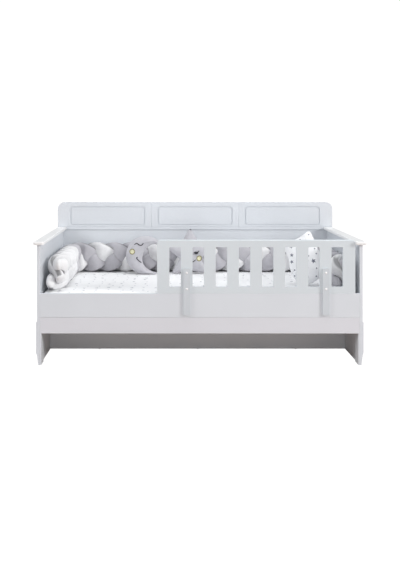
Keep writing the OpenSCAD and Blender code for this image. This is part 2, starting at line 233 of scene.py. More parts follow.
def finishFrame():  # each carried-over piece and its finish
    boards = {
        "frameLacquer": ["end_panel_left", "end_panel_right", "skirting_left", "skirting_right",
                         "leg_cheek_left", "leg_cheek_right", "front_rail", "lower_back_panel",
                         "back_board_left", "back_board_middle", "back_board_right", "support_board"],
        "apronWarmBounceLacquer": ["front_apron"],
        "guardLacquer": ["guard_board"],
        "hangerLacquer": ["hanger_left", "hanger_right"],
        "capLacquer": ["cap_rail_left", "cap_rail_right", "hanger_plate_left", "hanger_plate_right"],
    }
    looks = {node: coats[coat] for coat, nodes in boards.items() for node in nodes}
    looks.update({node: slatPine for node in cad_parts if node.startswith(("slat_0", "slat_1"))})
    looks.update(ledger_front=ledgerPine, ledger_back=ledgerPine, dowels=ledgerPine,
                 floor_glides=glidePlastic, cam_locks=zincMetal, cam_bolts=zincMetal, back_screws=zincMetal,
                 ledger_screws=zincMetal, slat_screws=zincMetal, guard_pins=zincMetal, guard_bolts=whiteCap,
                 guard_nuts=whiteCap)
    for node, look in looks.items():
        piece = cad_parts[node]
        piece.data.materials.clear()
        piece.data.materials.append(look)
        if look in coats.values():
            softenArrises(piece)


finishFrame()
print("frame finished")


# Soft goods: closed surfaces on grids of two parameters

def gridQuads(rows, columns):  # faces of a grid whose columns join up, and each corner's row and column
    row, column = np.mgrid[0:rows - 1, 0:columns].reshape(2, -1)
    corners = np.stack([np.stack([row + r, column + c], 1) for r, c in ((0, 0), (0, 1), (1, 1), (1, 0))], 1)
    return corners[..., 0] * columns + corners[..., 1] % columns, corners


def newPiece(name, points, faces, look, uv=None, closed=True):  # uv: each face corner's place on the cloth
    mesh = bpy.data.meshes.new(name)
    mesh.from_pydata(points.reshape(-1, 3).tolist(), [], faces)
    if uv is not None:
        mesh.uv_layers.new(name="cloth").data.foreach_set("uv", uv.ravel())
    mesh.polygons.foreach_set("use_smooth", np.ones(len(faces), dtype=bool))
    shell = bmesh.new()
    shell.from_mesh(mesh)
    if closed and shell.calc_volume(signed=True) < 0:
        bmesh.ops.reverse_faces(shell, faces=shell.faces)
        shell.to_mesh(mesh)
    shell.free()
    mesh.materials.append(look)
    piece = bpy.data.objects.new(name, mesh)
    bpy.context.scene.collection.objects.link(piece)
    return piece


def tube(name, rings, look):  # rings of points along a path, closed at both ends; its UV map is in metres
    rows, columns = rings.shape[:2]
    quads, corners = gridQuads(rows, columns)
    middle = rings.mean(1)
    along = np.concatenate([[0], np.cumsum(np.linalg.norm(np.diff(middle, axis=0), axis=1))])
    girth = np.linalg.norm(np.diff(rings, axis=1), axis=2).sum(1).max()
    uv = np.stack([along[corners[..., 0]], corners[..., 1] * girth / columns], -1).reshape(-1, 2)
    ends = [list(range(columns))[::-1], list(range((rows - 1) * columns, rows * columns))]
    cloth = np.concatenate([uv, np.zeros((2 * columns, 2))])
    return newPiece(name, rings, quads.tolist() + ends, look, cloth)


def threadRings(path, radius, sides=8):  # circles square to a path, smaller towards its ends
    frontward = (0.02, 1.0, 0.03)  # near Y, and never along the path
    forward = np.gradient(path, axis=0)
    forward /= np.linalg.norm(forward, axis=1)[:, None]
    across = np.cross(forward, frontward)
    across /= np.linalg.norm(across, axis=1)[:, None]
    turn = np.linspace(0, 2 * np.pi, sides, endpoint=False)
    share = np.linspace(-1, 1, len(path))
    size = radius * np.sqrt(1.02 - share ** 8)[:, None, None]
    return path[:, None] + size * (np.cos(turn)[:, None] * across[:, None]
                                   + np.sin(turn)[:, None] * np.cross(forward, across)[:, None])


def smoothLine(knots, count):  # a curve through a few points: each coordinate is a smoothed broken line
    knots = np.array(knots, dtype=float)
    places = np.linspace(0, len(knots) - 1, count)
    line = np.stack([np.interp(places, np.arange(len(knots)), column) for column in knots.T], 1)
    for _ in range(count // 3):
        line[1:-1] = line[1:-1] * 0.5 + (line[:-2] + line[2:]) * 0.25
    return line


def folds(u, v, seed, scale, count=9):  # smooth unevenness from -1 to 1: a sum of sines in random directions
    random = np.random.default_rng(seed)
    total = np.zeros(np.broadcast(u, v).shape)
    for _ in range(count):
        angle, phase = random.uniform(0, 2 * np.pi), random.uniform(0, 2 * np.pi)
        pitch = random.uniform(0.5, 1.9)
        total += np.sin((u * np.cos(angle) + v * np.sin(angle)) * 2 * np.pi * pitch / scale + phase) / pitch
    return total / math.sqrt(count)


# Cloths
starShape = {"hollow": 0.42, "scatter": 0.5, "blur": 0.0004, "dots": (0.62, 0.63)}


def starPrint(shader, u, v, cell, star, dot, seed):  # 1 on scattered five-point stars and dots, one to a cell
    blur, scatter = starShape["blur"], cell * starShape["scatter"]
    corner = np.array((math.cos(math.radians(36)), math.sin(math.radians(36)))) * starShape["hollow"]
    side = np.array((corner[1], 1 - corner[0]))
    side = side / np.linalg.norm(side)
    across, up = u * (1 / cell), v * (1 / cell)
    column, row = across.maths("FLOOR"), up.maths("FLOOR")
    at = shader.add("ShaderNodeCombineXYZ", {}, {0: column, 1: row, 2: seed})
    chance = shader.add("ShaderNodeTexWhiteNoise", {"noise_dimensions": "3D"}, {"Vector": at}, "Color")
    x = (across - column - 0.5) * cell + (chance.part("X") - 0.5) * scatter
    y = (up - row - 0.5) * cell + (chance.part("Y") - 0.5) * scatter
    reach = (x * x + y * y) ** 0.5
    turned = y.maths("ARCTAN2", x) + chance.part("Z") * 6.28
    wedge = abs(turned % math.radians(72) - math.radians(36))
    kind = chance.part("Z") * 7.0
    size = (kind % 1.0).ramp(0.2, 0.8) * (star * 0.35) + star * 0.8
    outside = (reach * wedge.maths("COSINE") - size) * side[0] + reach * wedge.maths("SINE") * side[1]
    starMask = 1 - outside.ramp(-blur, blur)
    dotMask = 1 - (reach - dot).ramp(-blur, blur)
    isStar = chance.part("X").ramp(*starShape["dots"])
    return starMask * isStar + dotMask * (1 - isStar)


clothLooks = {  # start: painted light, a lighter colour at first where strong light falls on the left arm's near end, fading over that many metres along the strand
    "greyPlush": {"colour": (0.475, 0.467, 0.50), "pile": 0.0011, "fuzz": 0.25, "paintsSeamShade": True,
                  "start": {"colour": (0.80, 0.80, 0.81), "over": (0.70, 1.02)}},
    "lightPlush": {"colour": (0.76, 0.76, 0.77), "pile": 0.0011, "fuzz": 0.25, "paintsSeamShade": True},
    "toyPlush": {"colour": (0.505, 0.50, 0.535), "pile": 0.0014, "fuzz": 0.45},
    "printSheet": {"base": (0.95, 0.955, 0.965), "ink": (0.33, 0.34, 0.39), "cell": 0.074, "star": 0.0145,
                   "dot": 0.0055, "seed": 3.0},
    "printPillow": {"base": (0.92, 0.925, 0.945), "ink": (0.13, 0.14, 0.19), "cell": 0.046, "star": 0.0165,
                    "dot": 0.0046, "seed": 11.0},
}
knit = {"brush": 28.0, "nap": 0.0012, "tuft": 0.0005, "paintedShadeGain": 0.42}
cotton = {"thread": 0.0009, "weave": 0.00012, "crumple": 22.0, "crease": 0.003}


def plush(name, colour, pile, fuzz, start=None, paintsSeamShade=False):  # brushed short pile; painted shade where strands meet, and painted light over the strand's start where one is given
    shader = Shader(name)
    where = shader.place()
    brushed = shader.noise(where, knit["brush"], 3.0, 0.55)
    tuft = shader.noise(where, 1 / pile, 2.0, 0.6)
    shade = shader.mix((brushed * 0.6 + tuft * 0.4).ramp(0.3, 0.7), tint(colour, 0.93), tint(colour, 1.05))
    # painted light: lighter over the strand's first stretch, fading out along it
    if start is not None:
        along = shader.place(source="UV").part("X")
        shade = shader.mix(along.ramp(*start["over"]), start["colour"], shade)
    # painted shade, read from the strand's point attribute: darker where one strand meets the next
    if paintsSeamShade:
        paintedSeamShade = shader.add("ShaderNodeAttribute", {"attribute_name": "paintedSeamShade"}, {}, "Fac")
        shade = shader.mix(paintedSeamShade, shade, tint(colour, knit["paintedShadeGain"]))
    fine = shader.bump(tuft, knit["tuft"])
    return shader.set(Base_Color=shade, Roughness=brushed * 0.1 + 0.83,
                      Normal=shader.bump(brushed, knit["nap"], fine), Sheen_Weight=fuzz, Sheen_Roughness=0.45,
                      Specular_IOR_Level=0.2).material


def printedCotton(name, base, ink, cell, star, dot, seed):  # woven cotton with a scattered print, and painted shade in the hollows of its crumples
    shader = Shader(name)
    where = shader.place(source="UV")
    u, v = where.part("X"), where.part("Y")
    mask = starPrint(shader, u, v, cell, star, dot, seed)
    rate = 2 * math.pi / cotton["thread"]
    warp = (u * rate).maths("SINE") * (v * rate).maths("SINE")
    crease = shader.noise(where, cotton["crumple"], 3.0, 0.55)
    # painted shade: the cloth is a little darker where the crumple bump is low
    creaseShadedGround = shader.mix(crease.ramp(0.25, 0.75), tint(base, 0.965), base)
    weave = shader.bump(warp, cotton["weave"])
    return shader.set(Base_Color=shader.mix(mask * (0.82 + crease * 0.2), creaseShadedGround, ink),
                      Roughness=crease * 0.1 + 0.78, Normal=shader.bump(crease, cotton["crease"], weave),
                      Sheen_Weight=0.12, Sheen_Roughness=0.5, Specular_IOR_Level=0.25).material


tickingLook = {"repeat": 0.036, "cream": (0.86, 0.86, 0.85), "blue": (0.42, 0.50, 0.62)}


def ticking(name):  # the mattress's striped cover: a broad stripe with a fine one on each side
    shader = Shader(name)
    where = shader.place()
    across = where.part("Y") * (1 / tickingLook["repeat"])
    stripe = abs(across % 1.0 - 0.5)
    mask = (1 - stripe.ramp(0.035, 0.05)) + (abs(stripe - 0.12) < 0.012)
    weave = shader.noise(where, 700.0, 2.0, 0.6)
    shade = shader.mix(mask * 0.7, tickingLook["cream"], tickingLook["blue"])
    return shader.set(Base_Color=shade, Roughness=weave * 0.1 + 0.8, Normal=shader.bump(weave, 0.0004),
                      Sheen_Weight=0.1).material


threadTwist = {"pitch": 0.0016, "slant": 0.6, "relief": 0.0003}


def thread(name, colour, rough, metallic=0.0):  # twisted embroidery thread: a sine of slantwise stripes, with painted shade in the grooves of the twist
    shader = Shader(name)
    where = shader.place(source="UV")
    slant = (where.part("X") + where.part("Y") * threadTwist["slant"]) * (2 * math.pi / threadTwist["pitch"])
    twist = slant.maths("SINE") * 0.5 + 0.5
    return shader.set(Base_Color=shader.mix(twist, tint(colour, 0.75), colour), Metallic=metallic,
                      Roughness=twist * 0.15 + rough,
                      Normal=shader.bump(twist, threadTwist["relief"])).material


greyPlush = plush("greyPlush", **clothLooks["greyPlush"])
lightPlush = plush("lightPlush", **clothLooks["lightPlush"])
toyPlush = plush("toyPlush", **clothLooks["toyPlush"])
printSheet = printedCotton("printSheet", **clothLooks["printSheet"])
printPillow = printedCotton("printPillow", **clothLooks["printPillow"])
mattressTicking = ticking("mattressTicking")
darkThread = thread("darkThread", (0.035, 0.033, 0.042), 0.55)
oliveThread = thread("oliveThread", (0.30, 0.27, 0.11), 0.4, 0.3)
goldCloth = thread("goldCloth", (0.84, 0.81, 0.57), 0.5, 0.25)


def dress(piece, slot, *nodes, fill=None):  # hangs each piece of bedding on the bed's body, and hides the frame's nodes that it stands for
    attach(piece, "bed")
    if nodes:
        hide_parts(*nodes)
    return piece


# Mattress and fitted sheet: loops of rounded rectangles, from a line down the middle out over the edge
bedding = {"loops": 200, "rows": 22, "edge": 0.022, "lift": 0.0012, "gap": 0.003, "mattressCorner": 0.04,
           "sheetCorner": 0.042, "cutCorner": 0.05, "cloth": 0.0011, "gathers": 150, "gatherDepth": 0.0007,
           "sideRows": 9, "ridge": 0.006}
mattressLow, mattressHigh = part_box("mattress")
sheetLow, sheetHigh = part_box("fitted_sheet")


def roundedLoop(halfX, halfY, radius, turn):
    # x and y at a share of the way round, from the right side's middle: straight runs and quarter circles
    quarter = np.pi / 2 * radius
    steps = [0, halfY - radius, quarter, 2 * (halfX - radius), quarter, 2 * (halfY - radius), quarter,
             2 * (halfX - radius), quarter, halfY - radius]
    knots = np.cumsum(steps)
    along = turn * knots[-1]
    angle = np.interp(along, knots, np.array([0, 0, 1, 1, 2, 2, 3, 3, 4, 4]) * np.pi / 2)
    x = np.interp(along, knots, np.array([1, 1, 1, -1, -1, -1, -1, 1, 1, 1]) * (halfX - radius))
    y = np.interp(along, knots, np.array([0, 1, 1, 1, 1, -1, -1, -1, -1, 0]) * (halfY - radius))
    return np.stack([x + radius * np.cos(angle), y + radius * np.sin(angle)], 1)


def loopShell(low, high, profile, corner):  # profile: how far each loop lies inside the outline, and how high
    turn = (np.arange(bedding["loops"]) + 0.5) / bedding["loops"]
    middle, half = (low + high) / 2, (high - low) / 2
    loops = []
    for inset, height in profile:
        halfX, halfY = half[0] - inset, half[1] - inset
        flat = roundedLoop(halfX, halfY, min(corner + max(inset, -corner * 0.9) * 0.5, halfY * 0.96), turn)
        loops.append(np.column_stack([flat + middle[:2], np.full(len(turn), height)]))
    return np.array(loops)


def stripFaces(first, columns):  # quads that close a loop across its long axis
    k = np.arange(columns // 2 - 1)
    return np.stack([first + k, first + k + 1, first + columns - 2 - k, first + columns - 1 - k], 1)


def topProfile(half, top, edge):  # from just off the middle line across the top, then over a round edge
    run = np.linspace(half - bedding["ridge"], edge, bedding["rows"])
    arc = np.linspace(0, np.pi / 2, 7)[1:]
    over = [(edge * (1 - math.sin(a)), top - edge * (1 - math.cos(a))) for a in arc]
    return [(inset, top) for inset in run] + over


def makeMattress():  # the top's profile, and the same upside down below
    low, high = np.array(mattressLow), np.array(mattressHigh) - (0, 0, bedding["gap"])
    edge = bedding["edge"]
    upper = topProfile((high - low)[1] / 2, high[2], edge)
    lower = [(inset, low[2] + high[2] - height) for inset, height in upper[::-1]]
    rings = loopShell(low, high, upper + lower, bedding["mattressCorner"])
    rows, columns = rings.shape[:2]
    quads, _ = gridQuads(rows, columns)
    above, below = stripFaces(0, columns)[:, ::-1], stripFaces((rows - 1) * columns, columns)
    faces = np.concatenate([quads, above, below])
    core = newPiece("mattressCore", rings, faces.tolist(), mattressTicking)
    return dress(core, "mattress_ticking", "mattress", fill=0.9)


def makeSheet():  # over the top and straight down the sides, gathered in by a sine toward its lower edge
    low, high = np.array(sheetLow), np.array(sheetHigh)
    edge, lift = bedding["edge"], bedding["lift"]
    drops = np.linspace(high[2] - edge, low[2] + 0.001, bedding["sideRows"])[1:]
    profile = topProfile((high - low)[1] / 2, high[2], edge) + [(0, z) for z in drops]
    rings = loopShell(low, high, profile, bedding["sheetCorner"])
    bend = np.pi / 2 * edge  # gone: how far over the edge each row lies, along the cloth
    gone = np.concatenate([np.linspace(0, bend, 7)[1:], bend + high[2] - edge - drops])
    rows, columns = rings.shape[:2]
    turn = (np.arange(columns) + 0.5) / columns
    half = (high - low) / 2
    flat = rings[..., :2].copy()  # where each point lies on the cloth before it is fitted
    for k, far in enumerate(gone):
        out = far - edge
        corner = bedding["cutCorner"] + max(out, 0)
        flat[rows - len(gone) + k] = roundedLoop(half[0] + out, half[1] + out, corner, turn)
    x, y = rings[..., 0], rings[..., 1]
    wave = folds(x, y, 5, 0.33) * 0.5 + folds(x, y, 6, 0.09) * 0.22
    rings[..., 2] += np.where(rings[..., 2] > high[2] - edge * 0.5, wave * lift - lift * 0.6, 0)
    sag = np.clip((high[2] - edge - rings[..., 2]) / (high[2] - low[2]), 0, 1)
    ripple = np.sin(np.linspace(0, 2 * np.pi * bedding["gathers"], columns))
    gather = ripple * bedding["gatherDepth"] * sag ** 2
    outward = rings[..., :2] - rings[-1:, :, :2] * 0.9
    outward /= np.linalg.norm(outward, axis=2)[..., None]
    rings[..., :2] -= outward * (np.abs(gather) + 0.0004)[..., None]
    quads, _ = gridQuads(rows, columns)
    strip = stripFaces(0, columns)[:, ::-1]
    cloth = flat.reshape(-1, 2)
    uv = np.concatenate([cloth[quads.ravel()], cloth[strip.ravel()]])
    sheet = newPiece("fittedSheet", rings, quads.tolist() + strip.tolist(), printSheet, uv, closed=False)
    thick = sheet.modifiers.new("cloth", "SOLIDIFY")
    thick.thickness, thick.offset = bedding["cloth"], -1
    return dress(sheet, "printed_sheet", "fitted_sheet")


makeMattress()
makeSheet()
print("mattress and sheet made")


# Braided bumper: three stuffed strands. Along the bed each strand's height is a sine, and its depth a sine of
# twice the rate, so that it passes over and under the other two.
braid = {"pitch": 0.372, "phase": 0.2975, "swing": 0.048, "dive": 0.031, "halfWidth": 0.0580,
         "outside": 0.032, "inside": 0.026, "corner": 0.095, "square": 2.75, "round": 2.05, "cap": 0.050,
         "capTurn": 1.54, "capPower": 0.85, "step": 0.0065, "sides": 52, "armRun": 0.62, "leftTwist": -0.70,
         "rightTwist": -0.92, "endDrop": 0.85, "endRun": 0.17, "armRelief": 0.008, "reliefRun": 0.15,
         "endSpread": 0.75, "endNarrow": 0.35, "crumple": 0.012, "floorGap": 0.0015}
# Painted shade where one strand meets the next: on its sides, but not on those that lie along the bumper's
# top and bottom
seamShade = {"side": (0.85, 0.12), "bare": (0.80, 0.18)}
braidLow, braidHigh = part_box("braided_bumper")


def alongBumper(s, height, depth):  # places, from distances along, above and inside the bumper's middle line
    thick = braid["dive"] + braid["outside"]
    armX, backY, endY, corner = braidHigh.x - thick, braidHigh.y - thick, braidLow.y, braid["corner"]
    arm, bend, run = backY - corner - endY, np.pi / 2 * corner, 2 * (armX - corner)
    knots = np.cumsum([0, arm, bend, run, bend, arm])
    angle = np.interp(s, knots, np.array([0, 0, 1, 1, 2, 2]) * np.pi / 2)
    x = np.interp(s, knots, np.array([-1, -1, -1, 1, 1, 1]) * (armX - corner))
    y = np.interp(s, knots, [endY, backY - corner, backY - corner, backY - corner, backY - corner, endY])
    inward = depth - corner
    past = s - np.clip(s, 0, knots[-1])
    return np.stack([x + np.cos(angle) * inward + np.sin(angle) * past,
                     y - np.sin(angle) * inward + np.cos(angle) * past,
                     (braidLow.z + braidHigh.z) / 2 + height], -1), knots[-1]


def strand(name, number, look, slot):  # rounded-square rings along the strand's line, with a dome at each end
    total = alongBumper(np.zeros(1), np.zeros(1), np.zeros(1))[1]
    cap = braid["cap"]
    bodyS = np.arange(cap, total - cap, braid["step"])
    close = np.linspace(0, 1, 12)[1:]
    dome = np.cos(close * braid["capTurn"]) ** braid["capPower"]
    size = np.concatenate([dome[::-1], np.ones(len(bodyS)), dome])
    push = cap * np.sin(close * braid["capTurn"])
    s = np.concatenate([cap - push[::-1], bodyS, bodyS[-1] + push])
    still = np.clip(s, cap, total - cap)

    def middleLine(at):  # the pitch alters a little along the arms, and the low strands sink at the ends
        near, far = np.clip(1 - at / braid["armRun"], 0, 1), np.clip(1 - (total - at) / braid["armRun"], 0, 1)
        theta = (2 * np.pi * (number / 3 - (at - braid["phase"]) / braid["pitch"])
                 + braid["leftTwist"] * near ** 2 + braid["rightTwist"] * far ** 2)
        toEnd = np.minimum(at, total - at)
        end = np.clip(1 - toEnd / braid["endRun"], 0, 1) ** 2
        relief = braid["armRelief"] * np.clip((braid["armRun"] - toEnd) / braid["reliefRun"], 0, 1)
        sink = 1 + braid["endDrop"] * end * (np.sin(theta) < 0)
        height, depth = (braid["swing"] + relief) * np.sin(theta) * sink, braid["dive"] * np.sin(2 * theta)
        return theta, height, depth, relief, end * np.clip(np.sin(theta) * 2, 0, 1)

    theta, height, depth, relief, spread = middleLine(still)
    _, ahead, deeper, _, _ = middleLine(still + 0.001)
    path = np.stack([s, height, depth], 1)
    forward = np.stack([np.full(len(s), 0.001), ahead - height, deeper - depth], 1)
    forward /= np.linalg.norm(forward, axis=1)[:, None]
    across = np.stack([-forward[:, 1], forward[:, 0], np.zeros(len(s))], 1)
    across /= np.linalg.norm(across, axis=1)[:, None]
    out = np.cross(forward, across)
    turn = np.linspace(0, 2 * np.pi, braid["sides"], endpoint=False)
    toEnd = np.clip(np.minimum(still, total - still) / braid["endRun"], 0, 1)
    share = 2 / (braid["round"] + (braid["square"] - braid["round"]) * toEnd)[:, None]
    wide = np.sign(np.cos(turn)) * np.abs(np.cos(turn)) ** share
    deep = np.sign(np.sin(turn)) * np.abs(np.sin(turn)) ** share
    facing = np.sin(2 * theta)[:, None] * np.sign(out[:, 2:])
    plump = ((braid["inside"] + braid["outside"]) / 2
             + (braid["outside"] - braid["inside"]) / 2 * facing * np.sin(turn))
    crossing = 0.3 + 0.7 * np.abs(np.cos(theta))[:, None]
    small = folds(s[:, None], np.sin(turn) * 0.05, 20 + number, 0.03) * crossing
    large = folds(s[:, None], np.cos(turn) * 0.06, 30 + number, 0.12)
    crease = 1 + braid["crumple"] * small + braid["crumple"] * large
    narrow = 1 - 0.05 * np.abs(np.sin(theta)) ** 4 - braid["endNarrow"] * spread
    half = (braid["halfWidth"] * narrow - relief)[:, None]
    plump = plump * (1 + braid["endSpread"] * spread)[:, None]
    ring = (path[:, None] + size[:, None, None] * crease[..., None]
            * ((half * wide)[..., None] * across[:, None] + (plump * deep)[..., None] * out[:, None]))
    places, _ = alongBumper(ring[..., 0], ring[..., 1], ring[..., 2])
    places[..., 2] = np.maximum(places[..., 2], braidLow.z + braid["floorGap"])
    piece = tube(name, places, look)
    # painted shade: each strand's sides, where it meets the next, are darkened, faded out on the end domes
    # and left off along the bumper's top and bottom
    (sideFrom, sideOver), (bareFrom, bareOver) = seamShade["side"], seamShade["bare"]
    side = np.clip((np.abs(np.cos(turn)) - sideFrom) / sideOver, 0, 1) * np.clip(size * 4 - 3, 0, 1)[:, None]
    outer = np.clip((np.cos(turn) * np.sin(theta)[:, None] - bareFrom) / bareOver, 0, 1)
    paintedSeamShade = piece.data.attributes.new("paintedSeamShade", "FLOAT", "POINT")
    paintedSeamShade.data.foreach_set("value", (side * (1 - outer)).ravel())
    return dress(piece, slot, "braided_bumper", fill=0.8)


strand("braidStrandLight", 0, lightPlush, "braid_cloth_white")
strand("braidStrandGrey", 1, greyPlush, "braid_cloth")
strand("braidStrandLilac", 2, greyPlush, "braid_cloth")
print("braid made")


# Cushions: a crowned shell, front and back, is remeshed, then blown up by cloth pressure with its seam held
puffing = {"voxel": 0.005, "pressure": 4.0, "frames": 20, "seamReach": 0.0045, "rings": 16, "stretch": 12,
           "bend": 0.6, "welt": 0.0014}


def evenOutline(points, count, rounding):  # the outline in even steps, its corners rounded off by averaging
    ring = np.concatenate([points, points[:1]])
    along = np.concatenate([[0], np.cumsum(np.linalg.norm(np.diff(ring, axis=0), axis=1))])
    places = np.linspace(0, along[-1], count, endpoint=False)
    even = np.stack([np.interp(places, along, column) for column in ring.T], 1)
    for _ in range(rounding):
        even = even * 0.5 + (np.roll(even, 1, 0) + np.roll(even, -1, 0)) * 0.25
    return even


def arcPoints(centre, radius, first, last, count):  # points on a circle between two angles in degrees
    angle = np.radians(np.linspace(first, last, count))
    return np.stack([centre[0] + radius * np.cos(angle), centre[1] + radius * np.sin(angle)], 1)


def crownedShell(name, rim, heart, halfDepth, look, place):
    # front and back: heart + q (rim - heart), whose thickness falls off as a power of q
    q = np.sin(np.linspace(0.06, np.pi / 2, puffing["rings"]))
    width = np.linalg.norm(rim - heart, axis=1)
    fullness = np.minimum(1, width / width.max() * 1.6) ** 0.6
    crown = halfDepth * (1 - q ** 2.6)[:, None] ** 0.62 * fullness
    flat = heart + q[:, None, None] * (rim - heart)
    front = np.stack([flat[..., 0], -crown, flat[..., 1]], -1)
    back = np.stack([flat[..., 0], crown, flat[..., 1]], -1)[::-1][1:]
    rings = np.concatenate([front, back])
    rows, columns = rings.shape[:2]
    quads, _ = gridQuads(rows, columns)
    ends = [list(range(columns))[::-1], list(range((rows - 1) * columns, rows * columns))]
    return newPiece(name, place(rings.reshape(-1, 3)), quads.tolist() + ends, look)


def meshPoints(mesh):  # the mesh's points as one array
    points = np.empty(len(mesh.vertices) * 3, dtype=np.float32)
    mesh.vertices.foreach_get("co", points)
    return points.reshape(-1, 3).astype(float)


def evaluated(piece):  # the piece with its modifiers worked out
    return piece.evaluated_get(bpy.context.evaluated_depsgraph_get())


def puffUp(sewn):  # each piece with its seam's points and how far its cloth may move
    for piece, seam, _ in sewn:
        remesh = piece.modifiers.new("remesh", "REMESH")
        remesh.mode, remesh.voxel_size, remesh.use_smooth_shade = "VOXEL", puffing["voxel"], True
        mesh = bpy.data.meshes.new_from_object(evaluated(piece))
        piece.modifiers.clear()
        piece.data = mesh
        points = meshPoints(mesh)
        near = np.linalg.norm(points[:, None] - seam[None, ::2], axis=2).min(1) < puffing["seamReach"]
        piece.vertex_groups.new(name="seam").add(np.nonzero(near)[0].tolist(), 1.0, "REPLACE")
        cloth = piece.modifiers.new("puff", "CLOTH").settings
        cloth.use_pressure, cloth.uniform_pressure_force = True, puffing["pressure"]
        cloth.effector_weights.gravity, cloth.vertex_group_mass = 0, "seam"
        cloth.tension_stiffness = cloth.compression_stiffness = puffing["stretch"]
        cloth.bending_stiffness = puffing["bend"]
    for number in range(1, puffing["frames"] + 1):
        bpy.context.scene.frame_set(number)
    for piece, _, cap in sewn:
        start, end = meshPoints(piece.data), meshPoints(evaluated(piece).data)
        moved = end - start
        length = np.linalg.norm(moved, axis=1)[:, None]
        moved *= np.minimum(1, cap / np.maximum(length, 1e-6))
        piece.modifiers.clear()
        piece.data.vertices.foreach_set("co", (start + moved).ravel())
        piece.data.update()
        piece.vertex_groups.clear()
        finer = piece.modifiers.new("finer", "SUBSURF")
        finer.levels = finer.render_levels = 1
    bpy.context.scene.frame_set(1)


def turned(axis, degrees):  # the matrix of a turn about one axis
    c, s = math.cos(math.radians(degrees)), math.sin(math.radians(degrees))
    return np.array({"X": [[1, 0, 0], [0, c, -s], [0, s, c]], "Y": [[c, 0, s], [0, 1, 0], [-s, 0, c]],
                     "Z": [[c, -s, 0], [s, c, 0], [0, 0, 1]]}[axis])


def upright(centre, yaw=0):  # places a shape drawn about its own middle, facing the front and turned a little
    return lambda points: points @ turned("Z", yaw).T + np.array(centre)


moonLow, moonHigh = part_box("moon_cushion")
moon = {"radius": (moonHigh.z - moonLow.z) / 2 + 0.003, "bite": (0.082, -0.023), "biteRadius": 0.105,
        "halfDepth": 0.036, "puff": 0.010, "horns": (52, 282), "spread": 0.034}
moonCentre = (moonLow.x + moon["radius"] - 0.007, (moonLow.y + moonHigh.y) / 2, (moonLow.z + moonHigh.z) / 2)


def moonOutline():  # a circle less a round bite; the inner line runs half way between the two circles
    bite, radius, biteRadius = np.array(moon["bite"]), moon["radius"], moon["biteRadius"]
    far = np.linalg.norm(bite)
    along = (radius ** 2 - biteRadius ** 2 + far ** 2) / (2 * far)
    offset = math.degrees(math.acos(along / radius))
    inner = math.degrees(math.acos((along - far) / biteRadius))
    axis = math.degrees(math.atan2(bite[1], bite[0]))
    outline = np.concatenate([arcPoints((0, 0), radius, axis + offset, axis + 360 - offset, 160),
                              arcPoints(bite, biteRadius, axis + 360 - inner, axis + inner, 90)])
    rim = evenOutline(outline, 260, 6)
    middle = bite / 2
    angle = np.degrees(np.arctan2(rim[:, 1] - middle[1], rim[:, 0] - middle[0])) % 360
    angle = np.radians(np.clip(angle, *moon["horns"]))
    heart = middle + (radius + biteRadius) / 2 * np.stack([np.cos(angle), np.sin(angle)], 1)
    for flat in (rim, heart):  # the lower horn spreads along the bed, and nothing goes below it
        horn = np.interp(flat[:, 0], (-0.03, 0.06), (0, 1)) * np.interp(flat[:, 1], (-0.115, -0.06), (1, 0))
        flat[:, 0] += moon["spread"] * horn
        flat[:, 1] = np.maximum(flat[:, 1], moonLow.z - moonCentre[2])
    return rim, heart


starLow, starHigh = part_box("star_cushion")
star = {"reach": 0.172, "tip": 0.0135, "halfDepth": 0.034, "puff": 0.012, "yaw": 5,
        "tips": ((90, 1.005), (162, 0.97), (228, 1.05), (312, 1.05), (18, 0.97)),
        "hollows": ((126, 0.57), (206, 0.46), (270, 0.67), (334, 0.46), (54, 0.57))}
starCentre = ((starLow.x + starHigh.x) / 2, (starLow.y + starHigh.y) / 2, starHigh.z - star["reach"])


def starOutline():  # five round tips, with a hollow after each
    parts = []
    for (angle, far), (hollow, near) in zip(star["tips"], star["hollows"]):
        out = star["reach"] * far - star["tip"]
        tipAt = (out * math.cos(math.radians(angle)), out * math.sin(math.radians(angle)))
        parts += [arcPoints(tipAt, star["tip"], angle - 70, angle + 70, 12),
                  arcPoints((0, 0), star["reach"] * near, hollow, hollow, 1)]
    rim = evenOutline(np.concatenate(parts), 300, 8)
    rim[:, 1] = np.maximum(rim[:, 1], starLow.z - starCentre[2])
    return rim, np.zeros_like(rim)


pillowLow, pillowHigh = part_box("star_print_pillow")
pillow = {"half": (0.0925, 0.1435), "corner": 0.013, "pull": 0.05, "sag": -0.11, "belly": 0.024,
          "flop": 0.018, "halfDepth": 0.030, "puff": 0.010, "slope": 32.6, "rake": 25, "lean": -14,
          "yaw": -10}
pillowCentre = (np.array(pillowLow) + np.array(pillowHigh)) / 2
pillowTurn = turned("Z", pillow["yaw"]) @ turned("X", pillow["lean"])


def pillowPlace(points):  # leans the pillow back, then turns it
    return points @ pillowTurn.T + pillowCentre


